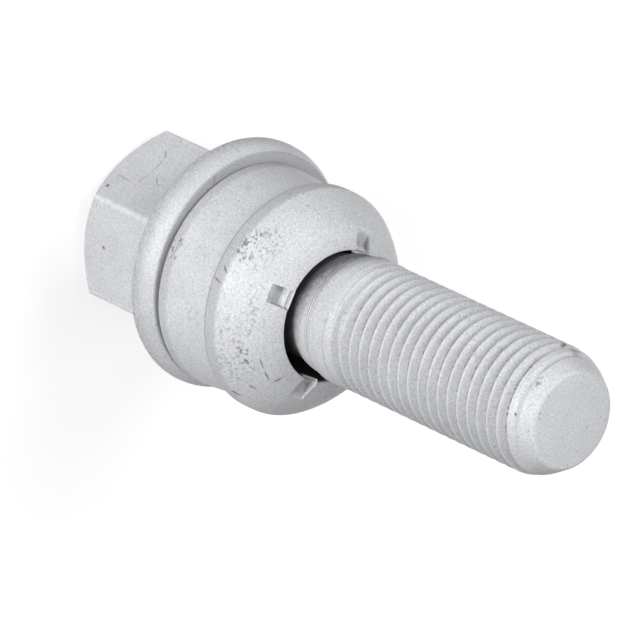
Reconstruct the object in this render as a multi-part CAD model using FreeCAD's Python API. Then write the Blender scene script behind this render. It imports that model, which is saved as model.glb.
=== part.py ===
import FreeCAD, Part
import math
import os

# Wheel bolt with a loose ball-seat collar, standing on its hexagon head.
# Z = 0 is the top face of the head, +Z runs along the axis to the point of the thread. Sizes in mm.

os.makedirs("parts", exist_ok=True)

# Thread: M14 x 1.5, drawn as a plain cylinder at its outer diameter
thread_d = 13.8
thread_pitch = 1.5
thread_length = 30.3
point_angle = 30.0

# Hexagon head for a 19 mm socket, with a turned chamfer and a shallow forging dish in its top
hex_af = 18.9
hex_height = 11.35
hex_corner_r = 0.45
hex_top_inset = 0.55
hex_chamfer_angle = 40.0
dish_depth = 0.5
dish_d = 9.0

# Flange forged under the head, its rim leaning out away from the seat
flange_margin = 0.08
flange_rim_r = 0.55
flange_side_angle = 24.0
flange_side_height = 2.9
flange_top_angle = 24.0

# Shank between the flange and the thread: a waisted neck, then a plain land that stops the collar
neck_undercut = 1.0
neck_flare = 0.6
land_length = 2.3
land_growth = 0.05
land_angle = 19.95

# Loose collar with a spherical seat
ball_r = 14.0
collar_wall = 5.25
collar_skirt = 7.55
shoulder_length = 1.7
shoulder_edge = 0.1
waist_depth = 0.72
waist_flare = 0.5
rim_inset = 0.12
rim_length = 1.3
rim_taper = 0.1
rim_edge = 0.25
bore_edge = 0.6
end_band = 2.33
end_angle = 26.0

# Stakes: four punched dents whose lips keep the collar on the shank
stake_count = 4
stake_width = 2.1
stake_depth = 0.9
stake_root = 0.55
stake_phase = 4.5
lip_drop = 0.25
lip_face = 0.4
lip_length = 1.3
lip_root = 0.3

# Clearances
collar_to_flange = 0.3
collar_to_land = 0.22
collar_end_gap = 0.2
lip_grip = 0.15
float_share = 0.66

# Derived sizes of the collar
thread_r = thread_d / 2.0
neck_r = thread_r - neck_undercut
land_r = thread_r + land_growth
bore_r = land_r + collar_to_land
lip_r = land_r - lip_grip
collar_float = float_share * (lip_r - neck_r)
shoulder_r = bore_r + collar_wall
waist_r = shoulder_r - waist_depth
rim_r = shoulder_r - rim_inset
ball_end_r = bore_r + end_band

# Derived sizes of the bolt
point_r = thread_r - 1.1 * thread_pitch
point_length = (thread_r - point_r) / math.tan(math.radians(point_angle))
hex_corner = hex_af / math.sqrt(3.0)
seat_r = shoulder_r + flange_margin
flange_r = seat_r + flange_side_height * math.tan(math.radians(flange_side_angle))
flange_top_rise = (flange_r - hex_af / 2.0) * math.tan(math.radians(flange_top_angle))
flange_z = hex_height + flange_top_rise

# Heights, from the head to the point
seat_z = flange_z + flange_side_height
collar_low_z = seat_z + collar_to_flange
rim_top_z = collar_low_z + rim_length
shoulder_low_z = collar_low_z + collar_skirt
shoulder_top_z = shoulder_low_z + shoulder_length
ball_z = shoulder_top_z - math.sqrt(ball_r ** 2 - shoulder_r ** 2)
ball_end_z = ball_z + math.sqrt(ball_r ** 2 - ball_end_r ** 2)
collar_top_z = ball_end_z + end_band * math.tan(math.radians(end_angle))
neck_top_z = collar_top_z + collar_end_gap
land_low_z = neck_top_z + (land_r - neck_r) / math.tan(math.radians(land_angle))
land_top_z = land_low_z + land_length
total_length = land_top_z + thread_length


def half_section(corners):
    """Face in the XZ plane from (radius, z, rounding) corners; a rounding of 0 leaves a corner sharp."""
    points = [FreeCAD.Vector(radius, 0.0, z) for radius, z, rounding in corners]
    edges = []
    leave = []
    reach = []
    for index, point in enumerate(points):
        rounding = corners[index][2]
        back = (points[index - 1] - point).normalize()
        ahead = (points[(index + 1) % len(points)] - point).normalize()
        if rounding == 0.0:
            reach.append(point)
            leave.append(point)
            continue
        half_angle = back.getAngle(ahead) / 2.0
        setback = rounding / math.tan(half_angle)
        inward = (back + ahead).normalize()
        reach.append(point + back * setback)
        leave.append(point + ahead * setback)
        middle = point + inward * (rounding / math.sin(half_angle) - rounding)
        edges.append(Part.Arc(reach[-1], middle, leave[-1]).toShape())
    for index in range(len(points)):
        edges.append(Part.LineSegment(leave[index - 1], reach[index]).toShape())
    return Part.Face(Part.Wire(Part.__sortEdges__(edges)))


def turned(corners):
    """Solid made by turning a half section about the axis."""
    return half_section(corners).revolve(FreeCAD.Vector(0, 0, 0), FreeCAD.Vector(0, 0, 1), 360.0)


def radial_prism(points, width, angle):
    """Prism of the given width from (radius, z) corners, turned to an angle about the axis."""
    outline = Part.makePolygon([FreeCAD.Vector(r, -width / 2.0, z) for r, z in points + points[:1]])
    prism = Part.Face(outline).extrude(FreeCAD.Vector(0, width, 0))
    prism.rotate(FreeCAD.Vector(0, 0, 0), FreeCAD.Vector(0, 0, 1), angle)
    return prism


def round_edges(solid, radius, wanted):
    """Rounds the edges that the test picks out."""
    return solid.makeFillet(radius, [edge for edge in solid.Edges if wanted(edge)])


def is_upright(edge):
    """True for an edge that runs along the axis."""
    return abs(edge.Vertexes[0].Z - edge.Vertexes[-1].Z) > 1.0


# Hexagon with corners on the Y axis: upright edges rounded, outer end turned to a cone and dished
corners = []
for step in range(7):
    turn = math.radians(90.0 + 60.0 * step)
    corners.append(FreeCAD.Vector(hex_corner * math.cos(turn), hex_corner * math.sin(turn), 0.0))
hexagon = Part.Face(Part.makePolygon(corners)).extrude(FreeCAD.Vector(0, 0, flange_z))
hexagon = round_edges(hexagon, hex_corner_r, is_upright)
top_circle_r = hex_af / 2.0 - hex_top_inset
cone_run = hex_corner - top_circle_r + 1.0
cone_rise = cone_run * math.tan(math.radians(hex_chamfer_angle))
envelope = turned([
    (0.0, dish_depth, 0.0),
    (dish_d / 2.0, dish_depth, 0.0),
    (dish_d / 2.0 + 2.0 * dish_depth, 0.0, 0.0),
    (top_circle_r, 0.0, 0.0),
    (top_circle_r + cone_run, cone_rise, 0.0),
    (top_circle_r + cone_run, flange_z, 0.0),
    (0.0, flange_z, 0.0),
])
head = hexagon.common(envelope)

# Flange, seat face, neck, land, thread and point, turned as one and joined to the head
core_r = hex_af / 2.0 - 1.0
shaft = turned([
    (0.0, hex_height - 1.0, 0.0),
    (core_r, hex_height - 1.0, 0.0),
    (core_r, hex_height - math.tan(math.radians(flange_top_angle)), 0.0),
    (flange_r, flange_z, flange_rim_r),
    (seat_r, seat_z, 0.0),
    (neck_r + neck_flare, seat_z, 0.0),
    (neck_r, seat_z + neck_flare, 0.0),
    (neck_r, neck_top_z, 0.0),
    (land_r, land_low_z, 0.0),
    (land_r, land_top_z, 0.0),
    (thread_r, land_top_z, 0.0),
    (thread_r, total_length - point_length, 0.0),
    (point_r, total_length, 0.0),
    (0.0, total_length, 0.0),
])
bolt = head.fuse(shaft).removeSplitter()

# Collar: a turned blank with rim, tapered waist, shoulder and blunt end, then the ball turned on it
blank_r_drop = collar_wall * math.tan(math.radians(end_angle))
blank = turned([
    (bore_r, collar_top_z, 0.0),
    (bore_r, collar_low_z + bore_edge, 0.0),
    (bore_r + bore_edge, collar_low_z, 0.0),
    (rim_r - rim_edge, collar_low_z, 0.0),
    (rim_r, collar_low_z + rim_edge, 0.0),
    (rim_r - rim_taper, rim_top_z, 0.0),
    (waist_r, shoulder_low_z - waist_flare, 0.0),
    (waist_r + waist_flare, shoulder_low_z, 0.0),
    (shoulder_r - shoulder_edge, shoulder_low_z, 0.0),
    (shoulder_r, shoulder_low_z + shoulder_edge, 0.0),
    (shoulder_r, collar_top_z - blank_r_drop, 0.0),
])
ball = Part.makeSphere(ball_r, FreeCAD.Vector(0, 0, ball_z))
collar = blank.common(ball)

# Stakes: a lip pushed into the bore, under a dent with a shallow outer ramp and a steeper inner one
root_r = bore_r + stake_root
root_z = collar_top_z - stake_root * math.tan(math.radians(end_angle)) - stake_depth
lip_z = collar_top_z - lip_drop
lip_profile = [
    (bore_r + lip_root, collar_top_z),
    (lip_r, lip_z),
    (lip_r, lip_z - lip_face),
    (bore_r + lip_root, lip_z - lip_length),
]
dent_profile = [
    (ball_end_r, ball_end_z),
    (root_r, root_z),
    (lip_r, lip_z),
    (lip_r, collar_top_z + 1.0),
    (ball_end_r, collar_top_z + 1.0),
]
for step in range(stake_count):
    turn = stake_phase + 360.0 / stake_count * step
    collar = collar.fuse(radial_prism(lip_profile, stake_width, turn))
    collar = collar.cut(radial_prism(dent_profile, stake_width, turn))
collar = collar.removeSplitter()

# The loose collar lies off centre by part of its play
collar.translate(FreeCAD.Vector(collar_float, 0.0, 0.0))

for name, shape in (("bolt", bolt), ("collar", collar)):
    shape.exportStep("parts/" + name + ".step")
    box = shape.optimalBoundingBox()
    print(name, shape.isValid(), len(shape.Solids), "volume", round(shape.Volume, 1))
    print("  x", round(box.XMin, 2), round(box.XMax, 2), "z", round(box.ZMin, 2), round(box.ZMax, 2))
print("bolt to collar gap", round(bolt.distToShape(collar)[0], 3))
print("length", round(total_length, 3), "seat z", round(seat_z, 3), "flange z", round(flange_z, 3))
print("collar float", round(collar_float, 3), "from", round(collar_low_z, 3), "to", round(collar_top_z, 3))
print("ball centre z", round(ball_z, 3), "shoulder z", round(shoulder_low_z, 3), round(shoulder_top_z, 3))
print("neck top", round(neck_top_z, 3), "land", round(land_low_z, 3), round(land_top_z, 3))
print("thread end", round(total_length - point_length, 3))
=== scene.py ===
# %% [markdown]
# # A wheel bolt with a loose ball-seat collar
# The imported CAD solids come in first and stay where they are: they are the frame that every new piece is
# fitted to. The bolt stands on its hexagon head, Z = 0 is the floor, and the thread points up. The
# lesson builds the bolt and its collar once more with softer edges and a real helical thread, and then
# gives them the matte silver coat that such fasteners have.

# %% Load the frame
import math
import bpy
from mathutils import Euler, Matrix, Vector


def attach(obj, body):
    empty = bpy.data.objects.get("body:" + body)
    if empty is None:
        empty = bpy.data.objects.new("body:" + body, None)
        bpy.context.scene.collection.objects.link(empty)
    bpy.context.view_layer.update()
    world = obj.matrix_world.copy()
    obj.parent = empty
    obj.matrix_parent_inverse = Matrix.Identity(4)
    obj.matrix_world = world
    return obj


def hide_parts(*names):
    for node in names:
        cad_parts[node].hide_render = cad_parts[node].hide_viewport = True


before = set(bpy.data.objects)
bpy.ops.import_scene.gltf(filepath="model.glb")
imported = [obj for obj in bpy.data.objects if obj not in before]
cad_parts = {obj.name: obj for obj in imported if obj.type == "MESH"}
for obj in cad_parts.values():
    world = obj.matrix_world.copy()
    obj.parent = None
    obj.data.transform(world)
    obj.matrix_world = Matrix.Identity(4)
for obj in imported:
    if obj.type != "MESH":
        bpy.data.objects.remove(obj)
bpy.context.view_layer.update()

MM = 0.001

# %% [markdown]
# ## Turning a profile
# Nearly everything on this bolt was turned or rolled, so a lathe is the natural tool. Blender's lathe is
# Spin: half a section is drawn as a chain of points beside the Z axis and swept round once. Here a plane
# is merged to a single point, the point is extruded from corner to corner, and the chain is spun. A
# screw modifier could do the same, but spin leaves an ordinary mesh whose rings can be picked and
# bevelled right away.

# %% A lathe
WELD = 0.001 * MM


def chain(name, corners):
    """Draws (radius, z) corners in mm as a chain of edges beside the axis and stays in edit mode."""
    bpy.ops.object.select_all(action="DESELECT")
    radius, z = corners[0]
    bpy.ops.mesh.primitive_plane_add(size=MM, location=(radius * MM, 0, z * MM))
    piece = bpy.context.object
    piece.name = name
    bpy.ops.object.transform_apply(location=True, rotation=False, scale=False)
    bpy.ops.object.mode_set(mode="EDIT")
    bpy.ops.mesh.select_mode(type="VERT")
    bpy.ops.mesh.select_all(action="SELECT")
    bpy.ops.mesh.merge(type="CENTER")
    for (radius, z), (next_radius, next_z) in zip(corners, corners[1:]):
        step = ((next_radius - radius) * MM, 0, (next_z - z) * MM)
        bpy.ops.mesh.extrude_region_move(TRANSFORM_OT_translate={"value": step})
    bpy.ops.mesh.select_all(action="SELECT")
    return piece


def close_up():
    """Merges what meets, turns the faces outwards and leaves edit mode."""
    bpy.ops.mesh.select_all(action="SELECT")
    bpy.ops.mesh.remove_doubles(threshold=WELD)
    bpy.ops.mesh.normals_make_consistent(inside=False)
    bpy.ops.object.mode_set(mode="OBJECT")


def turn(name, corners, steps=160):
    """Spins a chain of corners once about the Z axis into a closed shell."""
    piece = chain(name, corners)
    bpy.ops.mesh.spin(steps=steps, angle=2 * math.pi, center=(0, 0, 0), axis=(0, 0, 1))
    close_up()
    return piece


print("lathe ready")

# %% [markdown]
# ## Rounding and joining
# No real edge is quite sharp, and the thin bright line that light draws along it is what tells the eye
# that this is metal. Bevel makes such edges but has to be told which ones, so a small test looks at both
# ends of every edge and picks those that lie in the right place. Joining, cutting and trimming are left
# to the Boolean modifier, which is applied at once so that the next step starts from a plain mesh.

# %% Rounding and joining
NEAR = 0.004


def pick_edges(piece, wanted):
    """Selects, in edit mode, the edges whose two ends pass the test."""
    bpy.ops.object.mode_set(mode="EDIT")
    bpy.ops.mesh.select_mode(type="EDGE")
    bpy.ops.mesh.select_all(action="DESELECT")
    bpy.ops.object.mode_set(mode="OBJECT")
    points = piece.data.vertices
    for edge in piece.data.edges:
        edge.select = wanted(points[edge.vertices[0]].co, points[edge.vertices[1]].co)
    bpy.ops.object.mode_set(mode="EDIT")


def round_rings(piece, rings):
    """Rounds the turned corners at (radius, z) in mm, each by its own width."""
    for radius, z, width, segments in rings:
        def on_ring(point):
            off_radius = math.hypot(point.x, point.y) / MM - radius
            return abs(off_radius) < NEAR and abs(point.z / MM - z) < NEAR
        pick_edges(piece, lambda a, b: on_ring(a) and on_ring(b))
        bpy.ops.mesh.bevel(offset=width * MM, segments=segments, affect="EDGES")
        bpy.ops.object.mode_set(mode="OBJECT")


def combine(piece, tool, how):
    """Joins, cuts or trims a piece with another one, which is used up."""
    bpy.ops.object.select_all(action="DESELECT")
    bpy.context.view_layer.objects.active = piece
    piece.select_set(True)
    change = piece.modifiers.new(how.lower(), "BOOLEAN")
    change.operation = how
    change.solver = "EXACT"
    change.object = tool
    bpy.ops.object.modifier_apply(modifier=change.name)
    bpy.data.objects.remove(tool)


print("corners within", NEAR, "mm of a ring are picked")

# %% [markdown]
# ## The hexagon head
# The head is forged as a hexagonal prism and its end is then faced on a lathe, which leaves the curved
# arcs where the turned cone crosses the six flats. A six-sided cylinder is the start. Its upright edges
# get a small bevel, and the boolean trim with a turned cone makes those arcs by itself, which is easier
# and truer than drawing them.

# %% Hexagon and its turned end
HEX_CORNER = 18.9 / math.sqrt(3)
HEX_DEPTH = 12.6
END_R = 8.65
DISH_R = 4.5
DISH_DEPTH = 0.5
bpy.ops.object.select_all(action="DESELECT")
bpy.ops.mesh.primitive_cylinder_add(
    vertices=6, radius=HEX_CORNER * MM, depth=HEX_DEPTH * MM, location=(0, 0, HEX_DEPTH / 2 * MM))
head = bpy.context.object
head.name = "wheel_bolt"
bpy.ops.object.transform_apply(location=True, rotation=False, scale=False)
pick_edges(head, lambda a, b: abs(a.z - b.z) > 5 * MM)
bpy.ops.mesh.bevel(offset=0.28 * MM, segments=4, affect="EDGES")
bpy.ops.object.mode_set(mode="OBJECT")

cone_run = 3.0
cone_rise = cone_run * math.tan(math.radians(40))
facing = turn("facing", [
    (0, DISH_DEPTH), (DISH_R, DISH_DEPTH), (DISH_R + 1, 0), (END_R, 0),
    (END_R + cone_run, cone_rise), (END_R + cone_run, 13), (0, 13)])
round_rings(facing, [(END_R, 0, 0.35, 4)])
combine(head, facing, "INTERSECT")
print("head:", len(head.data.polygons), "faces")

# %% [markdown]
# ## Flange, neck and land
# Below the hexagon sits a forged flange with a soft bulging rim, then the waisted neck that the collar
# turns on, a long cone with the fine ridges that the turning tool left, and a short plain land that
# keeps the collar from sliding off. All of it is one turned profile with bulge and ridges drawn in.
# Where the land ends, a shallow groove marks the start of the thread, and a cone under it lets the first
# turns of the thread come up gradually. The corners that the light catches are rounded afterwards by
# picking their rings.

# %% Turned shank
SEAT_R = 12.7
SEAT_Z = 16.183
NECK_R = 6.05
NECK_TOP = 30.45
LAND_R = 6.95
LAND_LOW = 33.784
LAND_TOP = 36.084
GROOVE_R = 6.83
flange = [(0, 10.3), (8.45, 10.3), (8.45, 10.905), (13.1, 12.976)]
rim = [
    (13.3, 13.09), (13.46, 13.27), (13.56, 13.55), (13.6, 13.95), (13.57, 14.4), (13.47, 14.85),
    (13.31, 15.25), (13.1, 15.6), (12.88, 15.93), (SEAT_R, SEAT_Z)]
neck = [
    (NECK_R + 0.5, SEAT_Z), (NECK_R, SEAT_Z + 0.5), (NECK_R, NECK_TOP), (6.3, 30.85), (6.47, 31.2),
    (6.58, 31.8), (6.65, 32.72)]
ridges = [
    (6.59, 32.9), (6.76, 33.08), (6.78, 33.14), (6.68, 33.3), (6.84, 33.48), (6.86, 33.54), (6.76, 33.7)]
land = [
    (LAND_R, LAND_LOW), (LAND_R, LAND_TOP - 0.14), (GROOVE_R, LAND_TOP - 0.06), (GROOVE_R, LAND_TOP),
    (6.91, LAND_TOP + 0.06)]
run_out = [(6.88, LAND_TOP + 0.35), (5.95, LAND_TOP + 2.1), (0, LAND_TOP + 2.1)]
shank = turn("shank", flange + rim + neck + ridges + land + run_out)
round_rings(shank, [(SEAT_R, SEAT_Z, 0.06, 2), (LAND_R, LAND_LOW, 0.05, 2), (NECK_R, NECK_TOP, 0.15, 3)])
print("shank:", len(shank.data.polygons), "faces")

# %% [markdown]
# ## The rolled thread
# The thread is M14 with a pitch of 1.5 mm, pressed in between rollers: 60 degree flanks, slightly
# rounded crests and a round root that the coat fills a little. One tooth is drawn as a chain, and the
# Screw modifier winds it up the shank, one pitch per turn. The wound sheet starts below the land's end
# and ends above the point, so two bisects with fill turn it into a closed rod with flat ends.

# %% One tooth, wound into a rod
PITCH = 1.5
TURNS = 24
STEPS = 96
LENGTH = 66.38
CREST_AT = 1.375
tooth = [
    (0.0, 6.9), (0.085, 6.897), (0.13, 6.872), (0.168, 6.815), (0.27, 6.64), (0.38, 6.45), (0.49, 6.26),
    (0.565, 6.13), (0.615, 6.065), (0.67, 6.035), (0.75, 6.025)]
one_pitch = tooth + [(PITCH - z, radius) for z, radius in reversed(tooth[:-1])]
# Crests stand at CREST_AT plus whole pitches, and 21 pitches up is still below the land's end
first_crest = CREST_AT + 21 * PITCH
rod = chain("rod", [(radius, first_crest + z) for z, radius in one_pitch])
bpy.ops.object.mode_set(mode="OBJECT")
winding = rod.modifiers.new("winding", "SCREW")
winding.axis = "Z"
winding.angle = 2 * math.pi
winding.screw_offset = PITCH * MM
winding.iterations = TURNS
winding.steps = STEPS
winding.render_steps = STEPS
winding.use_merge_vertices = True
winding.merge_threshold = WELD
bpy.ops.object.modifier_apply(modifier=winding.name)
bpy.ops.object.mode_set(mode="EDIT")
bpy.ops.mesh.select_all(action="SELECT")
bpy.ops.mesh.remove_doubles(threshold=WELD)
for z, outer in ((LAND_TOP + 0.05, False), (LENGTH, True)):
    bpy.ops.mesh.select_all(action="SELECT")
    bpy.ops.mesh.bisect(
        plane_co=(0, 0, z * MM), plane_no=(0, 0, 1), threshold=0.0001 * MM,
        use_fill=True, clear_outer=outer, clear_inner=not outer)
close_up()
heights = [point.co.z / MM for point in rod.data.vertices]
print("rod:", len(rod.data.polygons), "faces, z", round(min(heights), 2), "to", round(max(heights), 2))

# %% [markdown]
# ## The point
# The bar's end is chamfered before the thread is rolled, so the last turns fade into a cone that helps
# the bolt find its hole. A turned blank in the shape of the finished point trims the rod: what both have
# in common stays.

# %% Point of the thread
POINT_R = 5.25
POINT_Z = 63.527
TRIM_R = 6.95
TRIM_LOW = 34.0
cone_low = POINT_Z - 0.09
trim = turn("trim", [
    (0, TRIM_LOW), (TRIM_R, TRIM_LOW), (TRIM_R, cone_low), (POINT_R, LENGTH), (0, LENGTH)], steps=128)
round_rings(trim, [(TRIM_R, cone_low, 1.4, 7), (POINT_R, LENGTH, 0.3, 4)])
combine(rod, trim, "INTERSECT")
print("rod with point:", len(rod.data.polygons), "faces")

# %% [markdown]
# ## One forged piece
# Head, shank and rod are one piece of steel on the real bolt, so they are joined into one shell. A plain
# join would leave hidden walls inside, and a boolean union leaves only the outer skin.

# %% Join the bolt
combine(shank, rod, "UNION")
combine(head, shank, "UNION")
bolt = head
bpy.context.view_layer.objects.active = bolt
bpy.ops.object.mode_set(mode="EDIT")
close_up()
bolt.select_set(True)
bpy.ops.object.shade_smooth_by_angle(angle=math.radians(32))
print("bolt:", len(bolt.data.polygons), "faces")

# %% [markdown]
# ## The loose collar
# The collar is a turned ring: a rim next to the flange, a waist that tapers a little, a narrow shoulder,
# and the ball of 14 mm radius that seats in the wheel. The ball's arc is part of the profile. The ring
# is turned about the Z axis first and set beside it at the end, because the loose collar lies a little
# off centre on the neck.

# %% Turned ring
COLLAR_LOW = 16.483
COLLAR_TOP = 30.692
BORE_R = 7.17
BORE_EDGE = 0.6
RIM_R = 12.3
RIM_TOP_R = 12.2
RIM_TOP = 17.783
WAIST_R = 11.7
WAIST_TOP = 23.533
SHOULDER_R = 12.42
SHOULDER_LOW = 24.083
SHOULDER_TOP = 25.733
BALL_R = 14.0
BALL_Z = 19.272
BALL_END_R = 9.5
BALL_END_Z = 29.555
BALL_STEPS = 14
ball_arc = []
for step in range(BALL_STEPS + 1):
    z = SHOULDER_TOP + (BALL_END_Z - SHOULDER_TOP) * step / BALL_STEPS
    ball_arc.append((math.sqrt(BALL_R ** 2 - (z - BALL_Z) ** 2), z))
skirt = [
    (BORE_R, COLLAR_LOW + BORE_EDGE), (BORE_R + BORE_EDGE, COLLAR_LOW), (RIM_R, COLLAR_LOW),
    (RIM_TOP_R, RIM_TOP), (WAIST_R, WAIST_TOP), (WAIST_R + 0.5, WAIST_TOP + 0.5),
    (SHOULDER_R, SHOULDER_LOW)]
collar = turn("seat_collar", skirt + ball_arc + [(BORE_R, COLLAR_TOP), skirt[0]], steps=192)
round_rings(collar, [
    (RIM_R, COLLAR_LOW, 0.25, 4), (RIM_TOP_R, RIM_TOP, 0.12, 2), (WAIST_R, WAIST_TOP, 0.5, 4),
    (SHOULDER_R, SHOULDER_LOW, 0.14, 3), (ball_arc[0][0], SHOULDER_TOP, 0.16, 2),
    (BORE_R, COLLAR_TOP, 0.12, 3)])
print("collar ring:", len(collar.data.polygons), "faces")

# %% [markdown]
# ## Four stakes
# After the ring was slid over the neck, four blows of a chisel pushed small lips into its bore, which
# keep it on the shank. A lip is a little wedge joined to the bore's mouth, and the dent behind it is a
# wedge cut away: a shallow ramp on the outside, a steeper one on the inside. Each wedge is drawn in
# section, given its width and turned to its place.

# %% Lips and dents
COLLAR_X = 0.594
STAKES = 4
STAKE_TURN = 4.5
STAKE_WIDTH = 2.2


def wedge(name, corners, width, turn_deg, floor_z, draft):
    """Prism from (radius, z) corners in mm, its width scaled by draft below floor_z, then turned."""
    piece = chain(name, corners)
    bpy.ops.mesh.edge_face_add()
    bpy.ops.transform.translate(value=(0, -width / 2 * MM, 0))
    bpy.ops.mesh.extrude_region_move(TRANSFORM_OT_translate={"value": (0, width * MM, 0)})
    close_up()
    for point in piece.data.vertices:
        if point.co.z < floor_z * MM:
            point.co.y *= draft
    piece.rotation_euler = Euler((0, 0, math.radians(turn_deg)))
    bpy.ops.object.transform_apply(location=False, rotation=True, scale=False)
    return piece


lip_corners = [
    (BORE_R + 0.3, 30.69), (6.84, 30.44), (6.8, 30.3), (6.82, 30.04), (BORE_R + 0.3, 29.14)]
dent_corners = [
    (BALL_END_R, BALL_END_Z), (7.72, 29.524), (6.8, 30.442), (6.6, 31.7), (BALL_END_R, 31.7)]
for step in range(STAKES):
    turn_deg = STAKE_TURN + 360 / STAKES * step
    lip = wedge("lip", lip_corners, STAKE_WIDTH, turn_deg, floor_z=29.5, draft=1.2)
    combine(collar, lip, "UNION")
    dent = wedge("dent", dent_corners, STAKE_WIDTH, turn_deg, floor_z=30.0, draft=0.9)
    combine(collar, dent, "DIFFERENCE")
bpy.context.view_layer.objects.active = collar
bpy.ops.object.mode_set(mode="EDIT")
close_up()
bpy.ops.object.select_all(action="DESELECT")
collar.select_set(True)
collar.location.x = COLLAR_X * MM
bpy.ops.object.transform_apply(location=True, rotation=False, scale=False)
bpy.ops.object.shade_smooth_by_angle(angle=math.radians(28))
print("collar:", len(collar.data.polygons), "faces")

# %% [markdown]
# ## Colours and nodes
# Colours are written as the hex values that a paint chart gives, and one function turns them into the
# linear numbers that the shaders work in. One more function adds a node, sets it and links it, so that a
# material reads from top to bottom like a recipe.

# %% Colour and node helpers
def colour(code):
    """Linear RGBA from an sRGB hex code such as C8C9CC."""
    parts = [int(code[i:i + 2], 16) / 255 for i in (0, 2, 4)]
    return [c / 12.92 if c <= 0.04045 else ((c + 0.055) / 1.055) ** 2.4 for c in parts] + [1.0]


def node(tree, kind, settings=None, links=None):
    """Adds a node; settings are properties or input values, links feed inputs from other sockets."""
    made = tree.nodes.new(kind)
    for key, value in (settings or {}).items():
        if isinstance(key, str) and hasattr(made, key):
            setattr(made, key, value)
        else:
            made.inputs[key].default_value = value
    for key, source in (links or {}).items():
        tree.links.new(source, made.inputs[key])
    return made


def new_material(name):
    """Material with an empty node tree and its output."""
    made = bpy.data.materials.new(name)
    made.use_nodes = True
    made.node_tree.nodes.clear()
    return made, made.node_tree, node(made.node_tree, "ShaderNodeOutputMaterial")


print("zinc grey C8C9CC is", [round(v, 3) for v in colour("C8C9CC")])

# %% [markdown]
# ## Zinc-flake coating
# Wheel bolts are dipped in a slurry of zinc and aluminium flakes that is baked to a thin matte silver
# skin. It looks like pale grey paint with a faint metallic lift: broad soft highlights, a fine grain,
# cloudy patches where it ran thicker, small pits, and hair scratches from lying in a box with other
# bolts. All of that is shared, so it is made once. The scratches are the contour lines of a large soft
# noise, which wander as real ones do.

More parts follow.
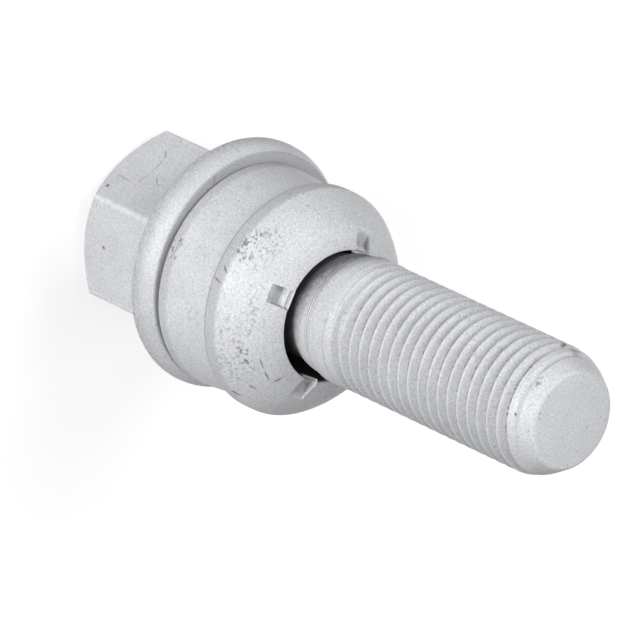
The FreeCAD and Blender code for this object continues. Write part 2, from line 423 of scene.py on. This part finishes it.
# %% Coat shared by both pieces
def flake_coat(name, tone, grain_low, grain_high):
    """Matte silver coat; gives back what the finish of a piece builds on, by name."""
    material, tree, output = new_material(name)
    at = node(tree, "ShaderNodeTexCoord")
    place = node(tree, "ShaderNodeVectorMath", {"operation": "SCALE", "Scale": 1000.0},
                 {0: at.outputs["Object"]})
    mm = place.outputs[0]
    # Flakes are about 0.02 mm, too fine to show, so the grain is drawn at 0.2 mm
    grain = node(tree, "ShaderNodeTexNoise", {"Scale": 1 / 0.2, "Detail": 3.0, "Roughness": 0.6},
                 {"Vector": mm})
    cloud = node(tree, "ShaderNodeTexNoise", {"Scale": 1 / 4.0, "Detail": 4.0}, {"Vector": mm})
    blotch = node(tree, "ShaderNodeTexNoise", {"Scale": 1 / 0.5, "Detail": 4.0, "Roughness": 0.7},
                  {"Vector": mm})
    fine = node(tree, "ShaderNodeMapRange", {1: 0.28, 2: 0.72, 3: grain_low, 4: grain_high},
                {0: grain.outputs[0]})
    broad = node(tree, "ShaderNodeMapRange", {1: 0.3, 2: 0.7, 3: 0.95, 4: 1.05}, {0: cloud.outputs[0]})
    shade = node(tree, "ShaderNodeMath", {"operation": "MULTIPLY"},
                 {0: fine.outputs[0], 1: broad.outputs[0]})
    coat = node(tree, "ShaderNodeVectorMath", {"operation": "SCALE", 0: colour(tone)[:3]},
                {"Scale": shade.outputs[0]})
    # Pits of about 0.2 mm, one in a few of the 1.4 mm cells
    cells = node(tree, "ShaderNodeTexVoronoi", {"Scale": 1 / 1.4}, {"Vector": mm})
    near = node(tree, "ShaderNodeMapRange", {1: 0.04, 2: 0.1, 3: 0.7, 4: 0.0},
                {0: cells.outputs["Distance"]})
    few = node(tree, "ShaderNodeMapRange", {1: 0.55, 2: 0.62}, {0: cells.outputs["Color"]})
    pit = node(tree, "ShaderNodeMath", {"operation": "MULTIPLY"},
               {0: near.outputs[0], 1: few.outputs[0]})
    # Hair scratches about 0.08 mm wide, seen only on the pale side of the blotches
    hills = node(tree, "ShaderNodeTexNoise", {"Scale": 1 / 6.0, "Detail": 2.0, "Distortion": 1.2},
                 {"Vector": mm})
    level = node(tree, "ShaderNodeMath", {"operation": "SUBTRACT", 1: 0.5}, {0: hills.outputs[0]})
    off = node(tree, "ShaderNodeMath", {"operation": "ABSOLUTE"}, {0: level.outputs[0]})
    hair = node(tree, "ShaderNodeMapRange", {1: 0.002, 2: 0.008, 3: 0.4, 4: 0.0}, {0: off.outputs[0]})
    some = node(tree, "ShaderNodeMapRange", {1: 0.48, 2: 0.6}, {0: blotch.outputs[0]})
    scratch = node(tree, "ShaderNodeMath", {"operation": "MULTIPLY"},
                   {0: hair.outputs[0], 1: some.outputs[0]})
    worn = node(tree, "ShaderNodeMath", {"operation": "MAXIMUM"},
                {0: pit.outputs[0], 1: scratch.outputs[0]})
    paint = node(tree, "ShaderNodeMix", {"data_type": "RGBA", 7: colour("77787B")},
                 {0: worn.outputs[0], 6: coat.outputs[0]})
    height = node(tree, "ShaderNodeMath", {"operation": "SUBTRACT"},
                  {0: grain.outputs[0], 1: worn.outputs[0]})
    # Chipped coat, as the peaks of a 0.45 mm noise, for the places where a finish asks for it
    peaks = node(tree, "ShaderNodeTexNoise", {"Scale": 1 / 0.45, "Detail": 2.0, "Roughness": 0.6},
                 {"Vector": mm})
    chips = node(tree, "ShaderNodeMapRange", {1: 0.53, 2: 0.61}, {0: peaks.outputs[0]})
    # The shader: a little metallic and dull, the clouds making it more or less so
    dull = node(tree, "ShaderNodeMapRange", {1: 0.3, 2: 0.7, 3: 0.45, 4: 0.6}, {0: cloud.outputs[0]})
    bump = node(tree, "ShaderNodeBump", {"Strength": 0.4, "Distance": 0.00005},
                {"Height": height.outputs[0]})
    skin = node(tree, "ShaderNodeBsdfPrincipled", {"Metallic": 0.05, "Specular IOR Level": 0.3},
                {"Roughness": dull.outputs[0], "Normal": bump.outputs[0]})
    tree.links.new(skin.outputs[0], output.inputs["Surface"])
    return {"material": material, "tree": tree, "mm": mm, "paint": paint.outputs[2], "skin": skin,
            "blotch": blotch.outputs[0], "chips": chips.outputs[0]}


print("coat ready")

# %% [markdown]
# ## The bolt's finish
# On the bolt the coat is painted darker in places: shade in the recesses where little light reaches,
# soot on the neck and a darker band on the rim. Distance from the axis and height along it say where
# that is, and a blotchy noise breaks up the borders. The roots of the thread come first. They are
# painted dark as shade from the land to the point, and the chamfered end stays clean.

# %% Painted shade in the roots of the thread
bolt_coat = flake_coat("zinc_flake_bolt", "C9CACD", 0.79, 1.2)
tree = bolt_coat["tree"]
along = node(tree, "ShaderNodeSeparateXYZ", {}, {0: bolt_coat["mm"]})
across = node(tree, "ShaderNodeVectorMath", {"operation": "MULTIPLY", 1: (1, 1, 0)},
              {0: bolt_coat["mm"]})
radius = node(tree, "ShaderNodeVectorMath", {"operation": "LENGTH"}, {0: across.outputs[0]})
speckle = node(tree, "ShaderNodeMapRange", {1: 0.4, 2: 0.62, 3: 0.2, 4: 1.0}, {0: bolt_coat["blotch"]})
# Painted shade: the roots of the thread are darkened, where shade falls between the flanks
in_root = node(tree, "ShaderNodeMapRange", {1: 6.07, 2: 6.22, 3: 0.9, 4: 0.0},
               {0: radius.outputs["Value"]})
past_land = node(tree, "ShaderNodeMapRange", {1: LAND_TOP, 2: LAND_TOP + 0.3}, {0: along.outputs[2]})
off_point = node(tree, "ShaderNodeMapRange", {1: POINT_Z + 0.3, 2: POINT_Z + 1.4, 3: 1.0, 4: 0.0},
                 {0: along.outputs[2]})
root = node(tree, "ShaderNodeMath", {"operation": "MULTIPLY"},
            {0: in_root.outputs[0], 1: past_land.outputs[0]})
on_thread = node(tree, "ShaderNodeMath", {"operation": "MULTIPLY"},
                 {0: root.outputs[0], 1: off_point.outputs[0]})
root_shade = node(tree, "ShaderNodeMath", {"operation": "MULTIPLY"},
                 {0: on_thread.outputs[0], 1: speckle.outputs[0]})
root_shaded = node(tree, "ShaderNodeMix", {"data_type": "RGBA", 7: colour("55565A")},
                {0: root_shade.outputs[0], 6: bolt_coat["paint"]})
print("dirt in the roots:", len(tree.nodes), "nodes")

# %% [markdown]
# ## Painted shade and soot on the neck
# The neck is painted nearly black up to a ragged line just past the collar, as the collar's shade with
# some soot, and higher up on the -X side, where the collar lies close to it and the shade is deeper. The
# seat face under the collar is only greyed with painted shade. Height, some noise and a share of X add up
# to one number, so a single range can draw that leaning, ragged line.

# %% Painted shade and soot on the neck
ragged_z = node(tree, "ShaderNodeMath", {"operation": "MULTIPLY_ADD", 1: 2.2},
                {0: bolt_coat["blotch"], 2: along.outputs[2]})
leaning = node(tree, "ShaderNodeMath", {"operation": "MULTIPLY_ADD", 1: 0.3},
               {0: along.outputs[0], 2: ragged_z.outputs[0]})
low_neck_shade_and_soot = node(tree, "ShaderNodeMapRange", {1: 31.9, 2: 34.5, 3: 0.9, 4: 0.0}, {0: leaning.outputs[0]})
# Painted shade on the seat face under the collar: about a third of the neck's, none on the flange
past_seat = node(tree, "ShaderNodeMapRange", {1: SEAT_Z - 0.05, 2: SEAT_Z + 0.6, 3: 0.36, 4: 1.0},
                 {0: along.outputs[2]})
off_flange = node(tree, "ShaderNodeMapRange", {1: SEAT_Z - 0.2, 2: SEAT_Z - 0.1}, {0: along.outputs[2]})
shade_and_soot_reach = node(tree, "ShaderNodeMath", {"operation": "MULTIPLY"},
                 {0: past_seat.outputs[0], 1: off_flange.outputs[0]})
neck_shade_and_soot = node(tree, "ShaderNodeMath", {"operation": "MULTIPLY"},
                 {0: low_neck_shade_and_soot.outputs[0], 1: shade_and_soot_reach.outputs[0]})
shaded_and_sooty = node(tree, "ShaderNodeMix", {"data_type": "RGBA", 7: colour("2E2F31")},
             {0: neck_shade_and_soot.outputs[0], 6: root_shaded.outputs[2]})
print("soot on the neck:", len(tree.nodes), "nodes")

# %% [markdown]
# ## Rim, grooves and edges
# Three smaller things follow, each of them a mask and a mix: a darker band on the flange's rim, dark
# lines of painted shade in the grooves that the tool cut before the land, and the six upright edges of
# the head, which spanners have rubbed bright.

# %% Rim, grooves and edges
# The wide part of the rim is painted darker, less and less towards the seat
wide = node(tree, "ShaderNodeMapRange", {1: 12.6, 2: 12.9}, {0: radius.outputs["Value"]})
low_rim = node(tree, "ShaderNodeMapRange", {1: 15.0, 2: 16.6, 3: 0.5, 4: 0.0}, {0: ragged_z.outputs[0]})
on_rim = node(tree, "ShaderNodeMath", {"operation": "MULTIPLY"},
              {0: wide.outputs[0], 1: low_rim.outputs[0]})
rim_darkening = node(tree, "ShaderNodeMath", {"operation": "MULTIPLY"},
                {0: on_rim.outputs[0], 1: speckle.outputs[0]})
rim_darkened = node(tree, "ShaderNodeMix", {"data_type": "RGBA", 7: colour("77787B")},
             {0: rim_darkening.outputs[0], 6: shaded_and_sooty.outputs[2]})
# The grooves are 0.4 mm apart, so the distance to the nearest one goes up and down within 0.2 mm
from_groove = node(tree, "ShaderNodeMath", {"operation": "SUBTRACT", 1: 32.9}, {0: along.outputs[2]})
groove = node(tree, "ShaderNodeMath", {"operation": "PINGPONG", 1: 0.2}, {0: from_groove.outputs[0]})
# Painted shade: dark lines where shade falls in the grooves
groove_shade_lines = node(tree, "ShaderNodeMapRange", {1: 0.03, 2: 0.1, 3: 0.6, 4: 0.0}, {0: groove.outputs[0]})
from_middle = node(tree, "ShaderNodeMath", {"operation": "COMPARE", 1: 33.3, 2: 0.5},
                   {0: along.outputs[2]})
groove_shade = node(tree, "ShaderNodeMath", {"operation": "MULTIPLY"},
                   {0: groove_shade_lines.outputs[0], 1: from_middle.outputs[0]})
shade_lined = node(tree, "ShaderNodeMix", {"data_type": "RGBA", 7: colour("55565A")},
             {0: groove_shade.outputs[0], 6: rim_darkened.outputs[2]})
# The edges are what lies farthest from the axis, as far up as the flange
edge = node(tree, "ShaderNodeMapRange", {1: 10.66, 2: 10.8}, {0: radius.outputs["Value"]})
on_head = node(tree, "ShaderNodeMapRange", {1: 10.9, 2: 11.4, 3: 0.7, 4: 0.0}, {0: along.outputs[2]})
on_edge = node(tree, "ShaderNodeMath", {"operation": "MULTIPLY"},
               {0: edge.outputs[0], 1: on_head.outputs[0]})
rubbed = node(tree, "ShaderNodeMath", {"operation": "MULTIPLY"},
              {0: on_edge.outputs[0], 1: speckle.outputs[0]})
bright = node(tree, "ShaderNodeMix", {"data_type": "RGBA", 7: colour("E6E7E9")},
              {0: rubbed.outputs[0], 6: shade_lined.outputs[2]})
bolt_coat["paint"] = bright.outputs[2]
print("rim, grooves and edges:", len(tree.nodes), "nodes")

# %% [markdown]
# ## Marks on the bolt
# A few marks tell where the bolt was knocked: specks and a long scratch on the head, scuffs on the
# point, and one rust spot where the coat broke on the last turn of the thread. Each is a stretched ball
# of ragged outline, laid on the surface at its place. Painting them on an image would need an unwrapped
# mesh, and this way does not.

# %% Marks on the bolt
def mark(coat, start, end, width):
    """Mask of a ragged mark that runs from start to end, in mm: 1 inside, 0 outside."""
    tree, low, high = coat["tree"], Vector(start), Vector(end)
    run = high - low
    lie = run.to_track_quat("X", "Z").to_euler() if run.length > 0 else Euler()
    reach = (run.length / 2 + width, width, width)
    local = node(tree, "ShaderNodeMapping",
                 {"vector_type": "TEXTURE", "Location": (low + high) / 2, "Rotation": lie, "Scale": reach},
                 {"Vector": coat["mm"]})
    away = node(tree, "ShaderNodeVectorMath", {"operation": "LENGTH"}, {0: local.outputs[0]})
    torn = node(tree, "ShaderNodeMath", {"operation": "MULTIPLY_ADD", 1: 1.5},
                {0: coat["blotch"], 2: away.outputs["Value"]})
    return node(tree, "ShaderNodeMapRange", {1: 1.3, 2: 1.75, 3: 1.0, 4: 0.0},
                {0: torn.outputs[0]}).outputs[0]


def marks(coat, places, code, share, through=None):
    """Lays marks of one colour over the coat, only where the through mask lets them show."""
    tree = coat["tree"]
    mask = mark(coat, *places[0])
    for start, end, width in places[1:]:
        mask = node(tree, "ShaderNodeMath", {"operation": "MAXIMUM"},
                    {0: mask, 1: mark(coat, start, end, width)}).outputs[0]
    if through:
        mask = node(tree, "ShaderNodeMath", {"operation": "MULTIPLY"}, {0: mask, 1: through}).outputs[0]
    part = node(tree, "ShaderNodeMapRange", {3: 0.0, 4: share}, {0: mask})
    coat["paint"] = node(tree, "ShaderNodeMix", {"data_type": "RGBA", 7: colour(code)},
                         {0: part.outputs[0], 6: coat["paint"]}).outputs[2]


specks = [
    ((-1.56, -10.01, 2.1), 0.26), ((4.49, -8.32, 3.8), 0.26), ((0.89, -13.0, 14.82), 0.22),
    ((1.85, -6.1, 64.6), 0.24)]
marks(bolt_coat, [(at, at, width) for at, width in specks], "4A4B4E", 0.8)
scratches = [
    ((-7.48, -6.59, 4.23), (-6.72, -7.03, 5.18), 0.12), ((-6.72, -7.03, 5.18), (-4.57, -8.27, 5.23), 0.1),
    ((-4.57, -8.27, 5.23), (-2.9, -9.24, 5.02), 0.11), ((-3.11, -9.12, 1.64), (-2.96, -9.2, 4.46), 0.08),
    ((-4.6, -8.26, 6.34), (-3.69, -8.78, 7.64), 0.09)]
marks(bolt_coat, scratches, "77787B", 0.6)
scuffs = [
    ((-0.3, -6.3, 64.6), (-1.4, -6.0, 64.9), 0.45), ((-1.58, -5.73, 65.2), (-2.6, -5.4, 65.1), 0.35),
    ((1.8, -5.1, 66.3), (-2.2, -4.8, 66.3), 0.3)]
marks(bolt_coat, scuffs, "6C6D70", 0.7, bolt_coat["chips"])
# The rust spot, with a pale stain round it
marks(bolt_coat, [((-6.7, -1.5, 62.9), (-6.4, -1.3, 64.1), 0.8)], "8C857B", 0.6)
marks(bolt_coat, [((-6.7, -1.7, 62.6), (-6.7, -1.6, 62.9), 0.6)], "7A4A30", 0.85)
tree.links.new(bolt_coat["paint"], bolt_coat["skin"].inputs["Base Color"])
bolt.data.materials.clear()
bolt.data.materials.append(bolt_coat["material"])
print("bolt finish:", len(tree.nodes), "nodes")

# %% [markdown]
# ## The collar's finish
# The collar was turned, so faint rings run round its waist under the coat. The rim beside the flange and
# the shoulder are painted darker than the waist and the ball: shade on both, with some dirt on the rim
# beside the gap. A dark line of painted shade lies in the corner where the waist meets the shoulder. All
# of it goes by height alone.

# %% Tone of the collar
RING_GAP = 0.4
collar_coat = flake_coat("zinc_flake_collar", "CDCED1", 0.76, 1.22)
tree = collar_coat["tree"]
along = node(tree, "ShaderNodeSeparateXYZ", {}, {0: collar_coat["mm"]})
# Turning rings are about 0.1 mm apart, drawn at RING_GAP so that they show
rings = node(tree, "ShaderNodeTexWave",
             {"bands_direction": "Z", "Scale": 2 * math.pi / 20 / RING_GAP, "Distortion": 0.6},
             {"Vector": collar_coat["mm"]})
ring_share = node(tree, "ShaderNodeMapRange", {3: 0.0, 4: 0.06}, {0: rings.outputs["Fac"]})
ringed = node(tree, "ShaderNodeMix", {"data_type": "RGBA", 7: colour("9A9B9E")},
              {0: ring_share.outputs[0], 6: collar_coat["paint"]})
ragged_z = node(tree, "ShaderNodeMath", {"operation": "MULTIPLY_ADD", 1: 1.2},
                {0: collar_coat["blotch"], 2: along.outputs[2]})
# Painted shade on the rim beside the flange, with some dirt there, and on the shoulder
rim_shade_and_dirt = node(tree, "ShaderNodeMapRange", {1: 18.1, 2: 18.5, 3: 0.28, 4: 0.0},
                {0: ragged_z.outputs[0]})
shoulder_low = node(tree, "ShaderNodeMapRange", {1: 23.9, 2: 24.1, 3: 0.0, 4: 0.3},
                    {0: along.outputs[2]})
shoulder_top = node(tree, "ShaderNodeMapRange", {1: 26.1, 2: 26.5, 3: 1.0, 4: 0.0},
                    {0: ragged_z.outputs[0]})
shoulder_shade = node(tree, "ShaderNodeMath", {"operation": "MULTIPLY"},
                {0: shoulder_low.outputs[0], 1: shoulder_top.outputs[0]})
shade_and_rim_dirt = node(tree, "ShaderNodeMath", {"operation": "MAXIMUM"},
           {0: rim_shade_and_dirt.outputs[0], 1: shoulder_shade.outputs[0]})
shade_and_dirt_dimmed = node(tree, "ShaderNodeMix", {"data_type": "RGBA", 7: colour("808184")},
              {0: shade_and_rim_dirt.outputs[0], 6: ringed.outputs[2]})
# Painted shade: a dark line in the corner where the waist meets the shoulder
from_corner = node(tree, "ShaderNodeMath", {"operation": "SUBTRACT", 1: 24.1}, {0: along.outputs[2]})
corner = node(tree, "ShaderNodeMath", {"operation": "ABSOLUTE"}, {0: from_corner.outputs[0]})
corner_shade = node(tree, "ShaderNodeMapRange", {1: 0.08, 2: 0.2, 3: 0.65, 4: 0.0}, {0: corner.outputs[0]})
shade_lined = node(tree, "ShaderNodeMix", {"data_type": "RGBA", 7: colour("4A4B4E")},
             {0: corner_shade.outputs[0], 6: shade_and_dirt_dimmed.outputs[2]})
print("collar tone:", len(tree.nodes), "nodes")

# %% [markdown]
# ## Dents and bore
# The bottoms of the dents get painted shade. They lie below the cone that runs from the ball to the bore,
# so the depth under that cone is their mask. The bore is painted nearly black as shade, up to just under
# the lips.

# %% Dents and bore
centred = node(tree, "ShaderNodeVectorMath", {"operation": "SUBTRACT", 1: (COLLAR_X, 0, 0)},
               {0: collar_coat["mm"]})
across = node(tree, "ShaderNodeVectorMath", {"operation": "MULTIPLY", 1: (1, 1, 0)},
              {0: centred.outputs[0]})
radius = node(tree, "ShaderNodeVectorMath", {"operation": "LENGTH"}, {0: across.outputs[0]})
cone_z = node(tree, "ShaderNodeMapRange", {1: BORE_R, 2: BALL_END_R, 3: COLLAR_TOP, 4: BALL_END_Z},
              {0: radius.outputs["Value"]})
depth = node(tree, "ShaderNodeMath", {"operation": "SUBTRACT"},
             {0: cone_z.outputs[0], 1: along.outputs[2]})
# Painted shade in the bottoms of the dents
sunk = node(tree, "ShaderNodeMapRange", {1: 0.08, 2: 0.4, 3: 0.0, 4: 0.4}, {0: depth.outputs[0]})
in_band = node(tree, "ShaderNodeMath", {"operation": "COMPARE", 1: 8.45, 2: 0.9},
               {0: radius.outputs["Value"]})
dent_shade = node(tree, "ShaderNodeMath", {"operation": "MULTIPLY"},
                 {0: sunk.outputs[0], 1: in_band.outputs[0]})
dent_shaded = node(tree, "ShaderNodeMix", {"data_type": "RGBA", 7: colour("77787B")},
              {0: dent_shade.outputs[0], 6: shade_lined.outputs[2]})
# Painted shade: the inside of the bore is painted nearly black
in_bore = node(tree, "ShaderNodeMapRange", {1: BORE_R + 0.02, 2: BORE_R + 0.1, 3: 0.9, 4: 0.0},
               {0: radius.outputs["Value"]})
under_lip = node(tree, "ShaderNodeMapRange", {1: 29.9, 2: 30.35, 3: 1.0, 4: 0.0}, {0: along.outputs[2]})
bore_shade = node(tree, "ShaderNodeMath", {"operation": "MULTIPLY"},
              {0: in_bore.outputs[0], 1: under_lip.outputs[0]})
bore_shaded = node(tree, "ShaderNodeMix", {"data_type": "RGBA", 7: colour("242527")},
               {0: bore_shade.outputs[0], 6: dent_shaded.outputs[2]})
collar_coat["paint"] = bore_shaded.outputs[2]
print("dents and bore:", len(tree.nodes), "nodes")

# %% [markdown]
# ## Marks on the collar
# The ball is scuffed where it has rubbed on other bolts. There are chipped patches on the ball and one on
# the rim, broad thin wear round them that shows only on the peaks of the coat, and a few dark nicks.

# %% Marks on the collar
chipped = [
    ((-0.9, -11.93, 26.4), (-2.0, -11.96, 26.0), 1.0), ((-2.0, -11.96, 26.05), (-3.3, -11.4, 26.4), 1.1),
    ((8.08, -8.13, 27.85), (8.47, -7.11, 28.39), 0.8), ((8.6, -7.0, 28.4), (9.1, -5.9, 28.7), 0.7),
    ((0.2, -12.25, 17.4), (2.4, -12.1, 17.3), 0.8)]
marks(collar_coat, chipped, "5F6063", 0.75, collar_coat["chips"])
thin = [
    ((6.0, -10.2, 27.0), (10.6, -6.0, 27.0), 2.2), ((-1.0, -11.2, 27.0), (-4.5, -9.8, 27.6), 1.9),
    ((2.0, -10.4, 28.4), (6.5, -8.6, 28.8), 1.2)]
marks(collar_coat, thin, "808184", 0.5, collar_coat["chips"])
nicks = [
    ((7.81, -6.46, 29.38), (8.7, -5.2, 29.42), 0.12), ((8.9, -4.9, 29.4), (9.52, -3.68, 29.4), 0.15),
    ((10.88, -4.31, 27.73), (10.9, -3.62, 28.03), 0.16),
    ((12.15, -4.42, 25.8), (12.23, -3.38, 26.28), 0.2),
    ((9.4, -3.17, 29.62), (8.81, -2.77, 29.96), 0.16),
    ((0.79, -12.41, 24.99), (1.36, -12.39, 25.66), 0.14),
    ((2.25, -12.3, 24.26), (2.69, -12.24, 25.6), 0.13)]
marks(collar_coat, nicks, "606164", 0.75)
tree.links.new(collar_coat["paint"], collar_coat["skin"].inputs["Base Color"])
collar.data.materials.clear()
collar.data.materials.append(collar_coat["material"])
print("collar finish:", len(tree.nodes), "nodes")

# %% [markdown]
# ## Riding on the frame
# Each piece rides on the empty of its CAD body, and the CAD part that it replaces is hidden.

# %% Ride on the frame
for piece, body, slot in ((bolt, "bolt", "bolt_coating"), (collar, "collar", "collar_coating")):
    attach(piece, body)
    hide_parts(body)
    print(piece.name, "rides on", body)

# %% [markdown]
# ## Floor
# The bolt stands on white paper, as in a product picture. What the camera and the coat's gloss see of it
# is plain white, while the dull part of its light stays low, so that the lamps shape the object and the
# floor still takes its shadow. The Light Path node tells which kind of ray is asking.

# %% Floor
FLOOR = 3.0


def seen_white(tree):
    """1 for rays from the camera, in gloss or through glass, and 0 for the rest."""
    path = node(tree, "ShaderNodeLightPath")
    both = node(tree, "ShaderNodeMath", {"operation": "MAXIMUM"},
                {0: path.outputs["Is Camera Ray"], 1: path.outputs["Is Glossy Ray"]})
    return node(tree, "ShaderNodeMath", {"operation": "MAXIMUM"},
                {0: both.outputs[0], 1: path.outputs["Is Transmission Ray"]}).outputs[0]


bpy.ops.object.select_all(action="DESELECT")
bpy.ops.mesh.primitive_plane_add(size=FLOOR, location=(0, 0, 0))
floor = bpy.context.object
floor.name = "studio_floor"
material, tree, output = new_material("white_paper")
matte = node(tree, "ShaderNodeBsdfDiffuse", {"Color": colour("A8A8A8")})
glow = node(tree, "ShaderNodeEmission", {"Color": colour("FFFFFF"), "Strength": 0.72})
both = node(tree, "ShaderNodeAddShader", {}, {0: matte.outputs[0], 1: glow.outputs[0]})
pick = node(tree, "ShaderNodeMixShader", {},
            {0: seen_white(tree), 1: matte.outputs[0], 2: both.outputs[0]})
tree.links.new(pick.outputs[0], output.inputs["Surface"])
floor.data.materials.append(material)
print("floor", FLOOR, "m wide")

# %% [markdown]
# ## World
# The room round the paper keeps the same rule: it is white where it is seen and nearly dark as a light.

# %% World
WORLD_LIGHT = 0.02
world = bpy.data.worlds.new("studio")
bpy.context.scene.world = world
world.use_nodes = True
tree = world.node_tree
tree.nodes.clear()
level = node(tree, "ShaderNodeMapRange", {3: WORLD_LIGHT, 4: 1.0}, {0: seen_white(tree)})
sky = node(tree, "ShaderNodeBackground", {"Color": colour("FFFFFF")}, {"Strength": level.outputs[0]})
node(tree, "ShaderNodeOutputWorld", {}, {"Surface": sky.outputs[0]})
print("world:", WORLD_LIGHT, "as light, white where it is seen")

# %% [markdown]
# ## Lamps
# Four soft lamps shape the bolt: a low key and a weak high lamp from the front, a fill from the left,
# and one from above and behind that lights the end of the thread. Each is placed by its direction, so
# that moving one means changing one angle.

# %% Lamps
MIDDLE_Z = 0.033


def lamp(name, azimuth, elevation, distance, size, power):
    """Square soft lamp that looks at the middle of the bolt; azimuth is measured from +X."""
    data = bpy.data.lights.new(name, "AREA")
    data.shape = "SQUARE"
    data.size = size
    data.energy = power
    lamp_object = bpy.data.objects.new(name, data)
    bpy.context.scene.collection.objects.link(lamp_object)
    turn_rad, lift_rad = math.radians(azimuth), math.radians(elevation)
    lamp_object.location = (
        distance * math.cos(lift_rad) * math.cos(turn_rad),
        distance * math.cos(lift_rad) * math.sin(turn_rad),
        MIDDLE_Z + distance * math.sin(lift_rad))
    lamp_object.rotation_euler = Euler((math.pi / 2 - lift_rad, 0, turn_rad + math.pi / 2))
    print(name, "at", [round(v, 2) for v in lamp_object.location])


lamp("key_lamp", -75, 9, 0.9, 0.35, 7.1)
lamp("front_lamp", -80, 52, 0.9, 0.6, 1.7)
lamp("fill_lamp", -173, 55, 0.9, 0.5, 4.3)
lamp("top_lamp", 95, 65, 0.9, 0.5, 2.0)

# %% [markdown]
# ## Camera
# The camera looks down on the standing bolt from the thread's side and is rolled so that the bolt lies
# across the picture. It is far away with a long lens, as in a product picture. Its place and its turn
# were fitted to the outlines in the photo, so they are odd numbers.

# %% Camera
camera = bpy.data.objects.new("camera", bpy.data.cameras.new("camera"))
bpy.context.scene.collection.objects.link(camera)
camera.location = (0.0016604, -0.6350311, 0.6355542)
camera.rotation_euler = Euler([math.radians(v) for v in (-24.1015, -40.8116, 124.3906)])
camera.data.lens = 477.557
camera.data.sensor_width = 36.0
camera.data.clip_end = 10.0
bpy.context.scene.camera = camera
bpy.context.scene.view_settings.view_transform = "Standard"
print("camera", round(camera.data.lens, 1), "mm lens")
